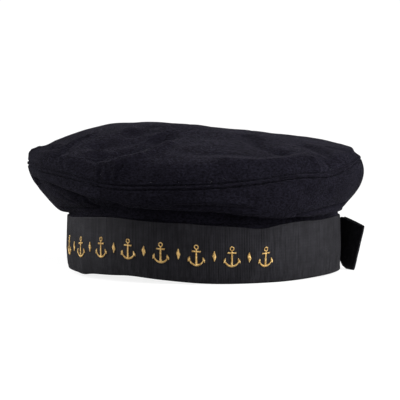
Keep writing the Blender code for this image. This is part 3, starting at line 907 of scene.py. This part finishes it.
def sewn_line(path, outward, stitch, space, rise=0.12 * MM, points=5):
    """Stitches along a closed path on the cloth, as lines of points. Outward leads off it."""
    path, far = measured(path, True)
    outward = measured(outward, True)[0]
    count = int(far[-1] / (stitch + space))
    starts = np.arange(count) * far[-1] / count
    places = starts[:, None] + np.linspace(0, stitch, points)
    on_path = np.stack([np.interp(places, far, path[:, k]) for k in range(3)], axis=-1)
    off = unit(np.stack([np.interp(places, far, outward[:, k]) for k in range(3)], axis=-1))
    arch = rise * np.sin(np.linspace(0, np.pi, points)) - STITCH_DIP
    return on_path + off * arch[None, :, None]


print("sides of a thread:", TUBE_SIDES)

# %% [markdown]
# ## The seam's stitching
#
# A row of stitches holds the seam down a little above it. It could follow a new curve,
# but one row of the top panel's own points already lies in the stitching's groove, so
# the stitches can't float off the cloth or sink into it.

# %% Sew the crown's seam
CROWN_HEART = [HEAD_X, HEAD_Y, 0.045]  # the stitches face away from here
welt_path = top_grid[:, round(WELT_WIDTH / FINE_WIDTH * FINE_ROWS)]
welt_outward = unit(welt_path - CROWN_HEART)
seam_sewing = sewn_line(
    welt_path, welt_outward, stitch=2.3 * MM, space=0.9 * MM, rise=0.08 * MM)
seam_stitches = threads_object(
    "seam_stitches", seam_sewing, thickness=0.25 * MM, material=navy_thread)

# %% [markdown]
# ## The headband
#
# The headband is wool folded over a stiffener. A plain strip would show a sharp lower
# edge. The real one is a round fold, so a half circle of rows turns from the outside to
# the inside. A line of machine stitching runs round it inside, about 6 mm from the edge.

# %% Make the headband
BAND_STEPS = 360
FOLD_ROWS = 7
FOLD_SHARE = 0.035  # of the headband's height
HEM_ROW = 3  # above the fold, inside
BAND_SLACK, BAND_SLACK_PACE = 0.6, 1.3  # shallower and closer waves than the crown's
band_angles = np.arange(BAND_STEPS) * 360 / BAND_STEPS
band_shares = np.concatenate([np.linspace(FOLD_SHARE, 0.3, 8), np.linspace(0.4, 1.0, 8)])


def headband_row(share, inward):
    """Points round the headband, at a share of its height and a depth into its wall."""
    radii = headband_outside(band_angles, share) - inward
    wave = waved(HEM_WAVES, band_angles) * (1 - share)
    return on_cap(band_angles, radii, share * HEADBAND_HEIGHT + lift(band_angles) + wave)


half_wall = HEADBAND_WALL / 2
rows = [headband_row(share, 0) for share in band_shares[::-1]]
for turn in np.linspace(0, np.pi, FOLD_ROWS)[1:-1]:
    rows.append(headband_row(FOLD_SHARE * (1 - np.sin(turn)), half_wall * (1 - np.cos(turn))))
first_inside = len(rows)
rows += [headband_row(share, HEADBAND_WALL) for share in band_shares]
band_grid = np.stack(rows, axis=1)
band_slack = slackness(band_grid * BAND_SLACK_PACE) * BAND_SLACK
out_of_band = unit((band_grid - [HEAD_X, HEAD_Y, 0]) * [1, 1, 0])
band_grid[:, first_inside:] += (out_of_band * band_slack[..., None])[:, first_inside:]
headband = cloth_object("headband_cloth", band_grid, wool)
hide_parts("headband")
hem_path = band_grid[:, first_inside + HEM_ROW]
into_band = -out_of_band[:, first_inside + HEM_ROW]
hem_sewing = sewn_line(hem_path, into_band, stitch=2.4 * MM, space=0.8 * MM)
hem_stitches = threads_object(
    "hem_stitches", hem_sewing, thickness=0.32 * MM, material=navy_thread)

# %% [markdown]
# ## The ribbon's ribs and wrinkles
#
# Grosgrain is woven with thick cross threads, so it is ribbed. A bump texture could show
# the ribs, but it can't give the ribbon's edge its fine teeth. So here they are real:
# each is a ridge across the ribbon, about 1.1 mm from the next, with a narrow groove
# between, and some stand out less than others. The wool behind is soft and embroidery
# pulls, so a table lists wrinkles that run from the ribbon's foot to its top.

# %% Ribs and wrinkles
RIB_PITCH = 1.12 * MM
RIB_DEPTH = 0.24 * MM
RIB_PROFILE = np.array([0.0, 0.82, 1.0, 0.82])  # the first point is the groove
RIB_SEED = 7
ribs_round = int(round(np.pi * (HEADBAND_LENGTH + HEADBAND_WIDTH) / 2 / RIB_PITCH))
ribbon_angles = np.arange(ribs_round * len(RIB_PROFILE)) * 360 / (ribs_round * len(RIB_PROFILE))
draw = np.random.default_rng(RIB_SEED)
rib_heights = np.repeat(draw.uniform(0.6, 1.0, ribs_round), len(RIB_PROFILE))
rib_shape = np.tile(RIB_PROFILE, ribs_round) * rib_heights

Wrinkle = namedtuple("Wrinkle", "angle slant half_width height")  # degrees; the height in mm
WRINKLES = (
    Wrinkle(-52, 3, 2.4, -0.30),
    Wrinkle(-46, -2, 2.0, 0.25),
    Wrinkle(-40, 2, 2.2, -0.40),
    Wrinkle(-33, 4, 2.4, 0.30),
    Wrinkle(-24, 4, 3.0, -0.45),
    Wrinkle(-13, -2, 3.5, -0.35),
    Wrinkle(3, -3, 3.5, -0.30),
    Wrinkle(15, 3, 4.0, -0.30),
    Wrinkle(36, 6, 5.0, -0.50),
    Wrinkle(46, 9, 3.4, 1.20),
    Wrinkle(72, 5, 3.0, -0.25),
    Wrinkle(84, -4, 3.0, 0.20),
)


def ribbon_out(angles, share):
    """How far the ribbon's cloth moves out: the gape of its top edge, and wrinkles."""
    gape = np.maximum(around(BAND, "gape", angles), 0)
    out = gape * share**2
    for wrinkle in WRINKLES:
        turn = turn_from(wrinkle.angle + wrinkle.slant * (share - 0.5), angles)
        out = out + bell(turn, wrinkle.half_width, wrinkle.height * MM)
    return out


def on_ribbon(angles, share, out):
    """Points on the ribbon's outside, at a share of its width, moved out from it."""
    height = RIBBON_FOOT + share * RIBBON_WIDTH
    back = headband_outside(angles, height / HEADBAND_HEIGHT) + GAP
    radii = back + RIBBON_WALL + ribbon_out(angles, share) + out
    height = height + waved(TOP_WAVES, angles) * share + waved(HEM_WAVES, angles) * (1 - share)
    return on_cap(angles, radii, height + lift(angles))


print("ribs round the ribbon:", ribs_round, "wrinkles:", len(WRINKLES))

# %% [markdown]
# ## The ribbon
#
# The ribbon is a strip that is sewn round the headband. It could be a thin sheet with a
# thickness added by a modifier, but its edges would be square. On the real one the cross
# threads turn back there, in the selvedge, so the ribs sink and end in tiny bumps. So
# the rows lie close together at both edges. The back is plain, and stays clear of the
# headband under every wrinkle.

# %% Make the ribbon
SELVEDGE = 0.018  # share of the width
SELVEDGE_RIBS = 0.6  # share of a full rib
EDGE_ROUNDING = 0.25 * MM
RIBBON_BACK = 0.75  # share of the ribbon's wall
outer_shares = np.array([0.0, 0.006, SELVEDGE, 0.03, 0.1, 0.2, 0.3, 0.4, 0.5, 0.6, 0.7, 0.8,
                         0.9, 0.97, 1 - SELVEDGE, 0.994, 1.0])
inner_shares = np.array([1.0, 0.66, 0.33, 0.0])

rows = []
for share in outer_shares:
    in_selvedge = min(share, 1 - share) < SELVEDGE
    ribs = rib_shape * RIB_DEPTH * (SELVEDGE_RIBS if in_selvedge else 1) - RIB_DEPTH
    ribs = ribs - (EDGE_ROUNDING if share in (0, 1) else 0)
    rows.append(on_ribbon(ribbon_angles, share, ribs))
for share in inner_shares:
    rows.append(on_ribbon(ribbon_angles, share, -RIBBON_WALL * RIBBON_BACK))
ribbon_grid = np.stack(rows, axis=1)
ribbon = cloth_object("ribbon_grosgrain", ribbon_grid, grosgrain)
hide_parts("ribbon")

# %% [markdown]
# ## The bow
#
# The bow is one more length of the ribbon, closed into a flat band, pinched in the
# middle and fanned out to its full width at the tips. A strip could be bent with a curve
# modifier, but its ribs would stretch in the bends. So the band's path, as seen from
# above, is a short table of how far its near and its far side stand off the cap, and
# the points on it are evenly spaced, four to a rib.

# %% Bow table and its path
BOW_ANGLE = 136  # degrees round the head
BOW_WIDTH = 32 * MM
BOW_PINCH = 20 * MM  # the band's height where the knot holds it
BOW_FAN_ABOVE = 7 * MM  # from the knot to the full width
BOW_FAN_BELOW = 14 * MM
BOW_REACH = 36.3 * MM
BOW_HEIGHT = 20.6 * MM  # the knot's middle
BOW_DROOP = 0.22  # metres down for each metre out
BOW_CLEAR = 0.2 * MM  # above the ground
BOW_LEAN = 0.26  # metres out for each metre up, at the tips
BowRow = namedtuple("BowRow", "along near far")  # share of the reach, then millimetres
BOW = (
    BowRow(0.00, 2.3, 3.8),
    BowRow(0.16, 2.3, 3.8),
    BowRow(0.34, 2.4, 4.7),
    BowRow(0.58, 2.9, 5.4),
    BowRow(0.80, 3.5, 5.7),
    BowRow(0.95, 4.1, 5.5),
)
BOW_TIP = 4.8  # millimetres
PATH_STEPS = 40  # fine points between two of the table's
KNOT_WIDTH = 12 * MM
KNOT_WALL = 1.2 * MM


def closed_curve(points, pitch):
    """Points on a smooth curve round through the given ones, four to each rib's pitch."""
    count = len(points)
    places = np.linspace(0, count, PATH_STEPS * count, endpoint=False)
    first = np.floor(places).astype(int)
    near = [points[(first + k) % count] for k in (-1, 0, 1, 2)]
    curve = smooth_between(*near, (places - first)[:, None])
    curve, far = measured(curve, True)
    steps = len(RIB_PROFILE) * int(round(far[-1] / pitch))
    spots = np.arange(steps) * far[-1] / steps
    return np.stack([np.interp(spots, far, curve[:, k]) for k in range(curve.shape[1])], axis=-1)


runs = np.array([row.along for row in BOW]) * BOW_REACH
near_side = np.stack([runs, np.array([row.near for row in BOW]) * MM], axis=-1)
far_side = np.stack([runs, np.array([row.far for row in BOW]) * MM], axis=-1)
half = np.concatenate([near_side, [(BOW_REACH, BOW_TIP * MM)], far_side[::-1]])
other_half = (half * [-1, 1])[::-1][1:-1]
bow_path = closed_curve(np.concatenate([half, other_half]), RIB_PITCH)
bow_ribs_round = len(bow_path) // len(RIB_PROFILE)
print("ribs round the bow:", bow_ribs_round)

# %% [markdown]
# ## The bow's loops
#
# Cloth simulation could hang the loops, but the photograph shows where they lie. They
# droop until the ground holds up their lower edge, and they lean out towards the top.
# The pinch throws small pleats that run out from the knot and fade away. Each row is a
# level between the lower and the upper edge, first on one face and then on the other.

# %% Make the bow's loops
BOW_ROWS = 19
PLEATS = 3.0
PLEAT_DEPTH = 0.55 * MM
PLEAT_FADE = 11 * MM
LOOP_WALL, LOOP_EDGE_WALL = 0.8, 0.55  # shares of the ribbon's wall
EDGE_BAND = 0.02  # share of half the height

clear = KNOT_WIDTH / 2 + GAP
past_knot = np.clip(np.abs(bow_path[:, 0]) - clear, 0, None)


def fanned(length):
    """Half the height of the loops, which fan out to their full width over this length."""
    share = np.clip(past_knot / length, 0, 1)
    return (BOW_PINCH + (BOW_WIDTH - BOW_PINCH) * share * share * (3 - 2 * share)) / 2


middle_height = BOW_HEIGHT - BOW_DROOP * past_knot
height_above = fanned(BOW_FAN_ABOVE)
height_below = np.minimum(fanned(BOW_FAN_BELOW), middle_height - BOW_CLEAR)
heading = unit(np.roll(bow_path, -1, axis=0) - np.roll(bow_path, 1, axis=0))
square = np.stack([-heading[:, 1], heading[:, 0]], axis=-1)
bow_ribs = np.tile(RIB_PROFILE, bow_ribs_round) * RIB_DEPTH


def place_bow(run, out, height):
    """Points of the flat bow, moved to where it is tied, behind the wearer's left ear."""
    turn = np.radians(BOW_ANGLE)
    outward = np.array([np.sin(turn), -np.cos(turn), 0])
    forward = np.array([-np.cos(turn), -np.sin(turn), 0])
    surface = headband_outside(BOW_ANGLE, BOW_HEIGHT / HEADBAND_HEIGHT) + GAP + RIBBON_WALL
    place = (surface + out)[..., None] * outward + run[..., None] * forward
    return place + height[..., None] * [0, 0, 1.0] + [HEAD_X, HEAD_Y, 0]


loop_rows = []
for wall, levels in ((-0.5, np.linspace(-1, 1, BOW_ROWS)), (0.5, np.linspace(1, -1, BOW_ROWS))):
    for level in levels:
        at_edge = 1 - abs(level) < EDGE_BAND
        ribs = bow_ribs * (0.5 if at_edge else 1)
        thick = RIBBON_WALL * (LOOP_EDGE_WALL if at_edge else LOOP_WALL) + ribs
        run, out = (bow_path + wall * thick[:, None] * square).T
        rise = level * (height_above if level > 0 else height_below)
        lean = BOW_LEAN * rise * past_knot / (BOW_REACH - clear)
        fade = np.exp(-past_knot / PLEAT_FADE)
        pleat = PLEAT_DEPTH * fade * np.cos(PLEATS * np.pi * level)
        loop_rows.append(place_bow(run, out + lean + pleat, middle_height + rise))
bow_loops = cloth_object("bow_loops_grosgrain", np.stack(loop_rows, axis=1), grosgrain)
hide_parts("bow_loops")

# %% [markdown]
# ## The knot
#
# A short piece of ribbon is wrapped round the middle of the bow and sewn behind. It is
# folded narrow, so it shows soft pleats from top to bottom, and its ribs lie level. A
# box with rounded edges would pass from far off. Rings round the bow, laid side by side,
# are hardly more work, and each can move out a little for a pleat or a rib.

# %% Make the knot
KNOT_COLUMNS = 17
KNOT_SIDE_POINTS = 32
KNOT_INSIDE = 0.1 * MM  # the inner face, past the gap
KNOT_EDGE_LOSS = 0.35  # share of the wall that is lost at its edges
KNOT_RIBS = np.array([0.0, 0.1, 0.13, 0.1]) * MM
KNOT_PLEATS, KNOT_PLEAT_DEPTH = 2.5, 0.18 * MM
inner_near = BOW[0].near * MM - RIBBON_WALL / 2 - GAP
inner_far = BOW[0].far * MM + RIBBON_WALL / 2 + GAP
knot_middle = (inner_near + inner_far) / 2
half_depth, knot_half_height = (inner_far - inner_near) / 2, BOW_PINCH / 2 + GAP
corner_turns = np.radians(np.linspace(0, 90, 7))


def knot_ring(wall):
    """The knot's outline round the bow, as (out, rise), this far from the loops."""
    quarter = np.stack([np.cos(corner_turns), np.sin(corner_turns)], axis=-1) * wall
    corner = quarter + (half_depth, knot_half_height)
    side = np.linspace(1, -1, KNOT_SIDE_POINTS + 2)[1:-1, None] * [0, knot_half_height]
    right = side + (half_depth + wall, 0)
    return np.concatenate([corner, (corner * [-1, 1])[::-1], right * [-1, 1],
                           corner * [-1, -1], (corner * [1, -1])[::-1], right[::-1]])


knot_rows = []
across = np.linspace(-1, 1, KNOT_COLUMNS)
for inside in (False, True):
    for level in (across if not inside else across[::-1]):
        wall = KNOT_INSIDE if inside else KNOT_WALL * (1 - KNOT_EDGE_LOSS * level**6)
        ring = knot_ring(wall)
        ribs = 0 if inside else np.resize(KNOT_RIBS, len(ring))
        pleats = 0 if inside else KNOT_PLEAT_DEPTH * np.cos(KNOT_PLEATS * np.pi * level)
        centre = ring - np.clip(ring, [-half_depth, -knot_half_height],
                                [half_depth, knot_half_height])
        ring = ring + unit(centre) * np.reshape(ribs + pleats, (-1, 1))
        out, rise = ring.T
        run = level * KNOT_WIDTH / 2 + 0 * out
        knot_rows.append(place_bow(run, knot_middle + out, BOW_HEIGHT + rise))
bow_knot = cloth_object("bow_knot_grosgrain", np.stack(knot_rows, axis=1), grosgrain)
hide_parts("bow_knot")

# %% [markdown]
# ## The gold ornament
#
# A row of small anchors and lozenges is worked in gold thread. A picture of them could
# be laid on the ribbon, but embroidery stands up from its cloth. So every figure is a
# few strokes. A stroke is a line through some points with a width at each one, all in
# millimetres from the middle of the figure, and an anchor is six of them.

# %% Strokes of an anchor and a lozenge
Stroke = namedtuple("Stroke", "points widths")
ring_turns = np.radians(np.linspace(-90, 270, 13))
ring_points = [(1.25 * np.cos(t), 5.3 + 1.25 * np.sin(t)) for t in ring_turns]
arm_turns = np.radians(np.linspace(205, 335, 9))
arm_points = [(4.9 * np.cos(t), -1.3 + 4.9 * np.sin(t)) for t in arm_turns]
ANCHOR = (
    Stroke(ring_points, [0.75] * 13),
    Stroke([(0, 4.0), (0, 0), (0, -5.6)], [1.0, 1.3, 1.7]),
    Stroke([(-2.9, 2.5), (0, 2.5), (2.9, 2.5)], [1.3, 0.9, 1.3]),
    Stroke(arm_points, [0.9, 1.1, 1.3, 1.5, 1.6, 1.5, 1.3, 1.1, 0.9]),
    Stroke([(-5.5, -4.2), (-4.75, -2.6), (-4.3, -0.9)], [0.3, 2.1, 0.3]),
    Stroke([(5.5, -4.2), (4.75, -2.6), (4.3, -0.9)], [0.3, 2.1, 0.3]),
)
LOZENGE = (Stroke([(0, 3.3), (0, 0), (0, -3.3)], [0.3, 3.1, 0.3]),)
print("strokes in an anchor:", len(ANCHOR))

# %% [markdown]
# ## Satin stitch
#
# Satin stitch lays threads side by side across each stroke, tight enough to cover the
# ribbon. It could be one raised strip with a bump on it, but single threads catch the
# light one by one. Each thread arches over the stroke, a little uneven as hands or a
# machine would sew it, and slants a little.

# %% Satin stitch helper
STITCH_PITCH = 0.34 * MM
STITCH_POINTS = 5
STROKE_STEPS = 20  # fine points for each one of a stroke's
STITCH_SHIFT = 0.15  # share of the pitch that a stitch may be off its place
STITCH_LENGTHS = (0.94, 1.08)  # shares of the stroke's width
STITCH_ARCH, STEEPEST_ARCH = 0.34 * MM, 0.55  # height, and height over half the width
STITCH_LIFT = 0.06 * MM  # above the ribs
AHEAD = 0.1 * MM  # on either side, to see which way the stroke runs
SATIN_SLANT = 0.35
SATIN_SEED = 5
draw = np.random.default_rng(SATIN_SEED)


def satin(stroke):
    """Stitches across a stroke, as lines of (x, y, how far out) in metres."""
    points = np.array(stroke.points, float) * MM
    widths = np.array(stroke.widths) * MM
    fine = np.linspace(0, len(points) - 1, STROKE_STEPS * len(points))
    curve = along(points, fine) if len(points) > 3 else np.stack(
        [np.interp(fine, range(len(points)), points[:, k]) for k in (0, 1)], axis=-1)
    wide = np.interp(fine, range(len(widths)), widths)
    curve, far = measured(curve, False)
    count = max(3, int(far[-1] / STITCH_PITCH))
    spots = (np.arange(count) + 0.5) * far[-1] / count
    spots = spots + draw.uniform(-STITCH_SHIFT, STITCH_SHIFT, count) * STITCH_PITCH
    middle_line = np.stack([np.interp(spots, far, curve[:, k]) for k in (0, 1)], axis=-1)
    ahead = np.stack([np.interp(spots + AHEAD, far, curve[:, k]) -
                      np.interp(spots - AHEAD, far, curve[:, k]) for k in (0, 1)], axis=-1)
    ahead = unit(ahead)
    across = unit(np.stack([-ahead[:, 1], ahead[:, 0]], axis=-1) + SATIN_SLANT * ahead)
    half = np.interp(spots, far, wide) / 2 * draw.uniform(*STITCH_LENGTHS, count)
    shares = np.linspace(-1, 1, STITCH_POINTS)
    flat = middle_line[:, None] + across[:, None] * half[:, None, None] * shares[:, None]
    arch = (1 - shares**2) * np.minimum(STITCH_ARCH, half[:, None] * STEEPEST_ARCH)
    return np.concatenate([flat, arch[..., None] + STITCH_LIFT], axis=-1)


print("stitches in a millimetre:", round(MM / STITCH_PITCH, 1))

# %% [markdown]
# ## The row of figures
#
# Anchors and lozenges take turns along the front of the ribbon. The figures could be
# flat and then bent round with a modifier. Here each stitch is placed by angle and
# height on the same surface as the ribs, so it follows every wrinkle.

# %% Sew the row of figures
ORNAMENT_HEIGHT = 0.47  # share of the ribbon's width
ORNAMENTS = 15
ORNAMENT_SPREAD = 49.0  # degrees either side of the front
ornament_angles = np.linspace(-ORNAMENT_SPREAD, ORNAMENT_SPREAD, ORNAMENTS)
gold_lines = []
for k, angle in enumerate(ornament_angles):
    for stroke in (ANCHOR if k % 2 == 0 else LOZENGE):
        stitches = satin(stroke)
        radius = float(headband_outside(angle, 0.5)) + GAP + RIBBON_WALL
        angles = angle + np.degrees(stitches[..., 0] / radius)
        share = ORNAMENT_HEIGHT + stitches[..., 1] / RIBBON_WIDTH
        gold_lines.append(on_ribbon(angles, share, stitches[..., 2]))
ornament = threads_object(
    "gold_ornament", np.concatenate(gold_lines), thickness=0.36 * MM, material=gold_thread)

# %% [markdown]
# ## Lint
#
# Dark wool always holds a few pale fibres. A hair system could grow them, but most of
# its hairs would stand up. These are short bent threads that lie on the crown's top,
# more of them near the seam, scattered from a fixed seed.

# %% Scatter the lint
LINT_SEED = 3
LINT_COUNT = 90
LINT_OFF = 0.12 * MM  # above the wool
LINT_LENGTHS = (0.6 * MM, 2.2 * MM)
LINT_POINTS = 5
MOST_DOWNWARD = -0.3  # off the cloth is up here, or at most this much down
draw = np.random.default_rng(LINT_SEED)
outer_top = top_grid[:, 2:FINE_ROWS + TOP_ROWS]
lint_lines = []
for _ in range(LINT_COUNT):
    column = draw.integers(0, ANGLE_STEPS)
    row = int(draw.beta(1.0, 1.6) * (outer_top.shape[1] - 4)) + 1
    spot = outer_top[column, row]
    beside = outer_top[(column + 1) % ANGLE_STEPS, row] - spot
    above = outer_top[column, row + 1] - spot
    off = unit(np.cross(beside, above))
    off = off if off[2] > MOST_DOWNWARD else -off
    way = draw.uniform(0, 2 * np.pi)
    run = unit(beside) * np.cos(way) + unit(above) * np.sin(way)
    bend = np.cross(off, run) * draw.uniform(-0.5, 0.5)
    length = draw.uniform(*LINT_LENGTHS)
    steps = np.linspace(-0.5, 0.5, LINT_POINTS)
    lint_lines.append([spot + length * (s * run + (s * s) * bend) + off * LINT_OFF
                       for s in steps])
lint = threads_object("lint", lint_lines, thickness=0.07 * MM, material=lint_fibre, sides=4)
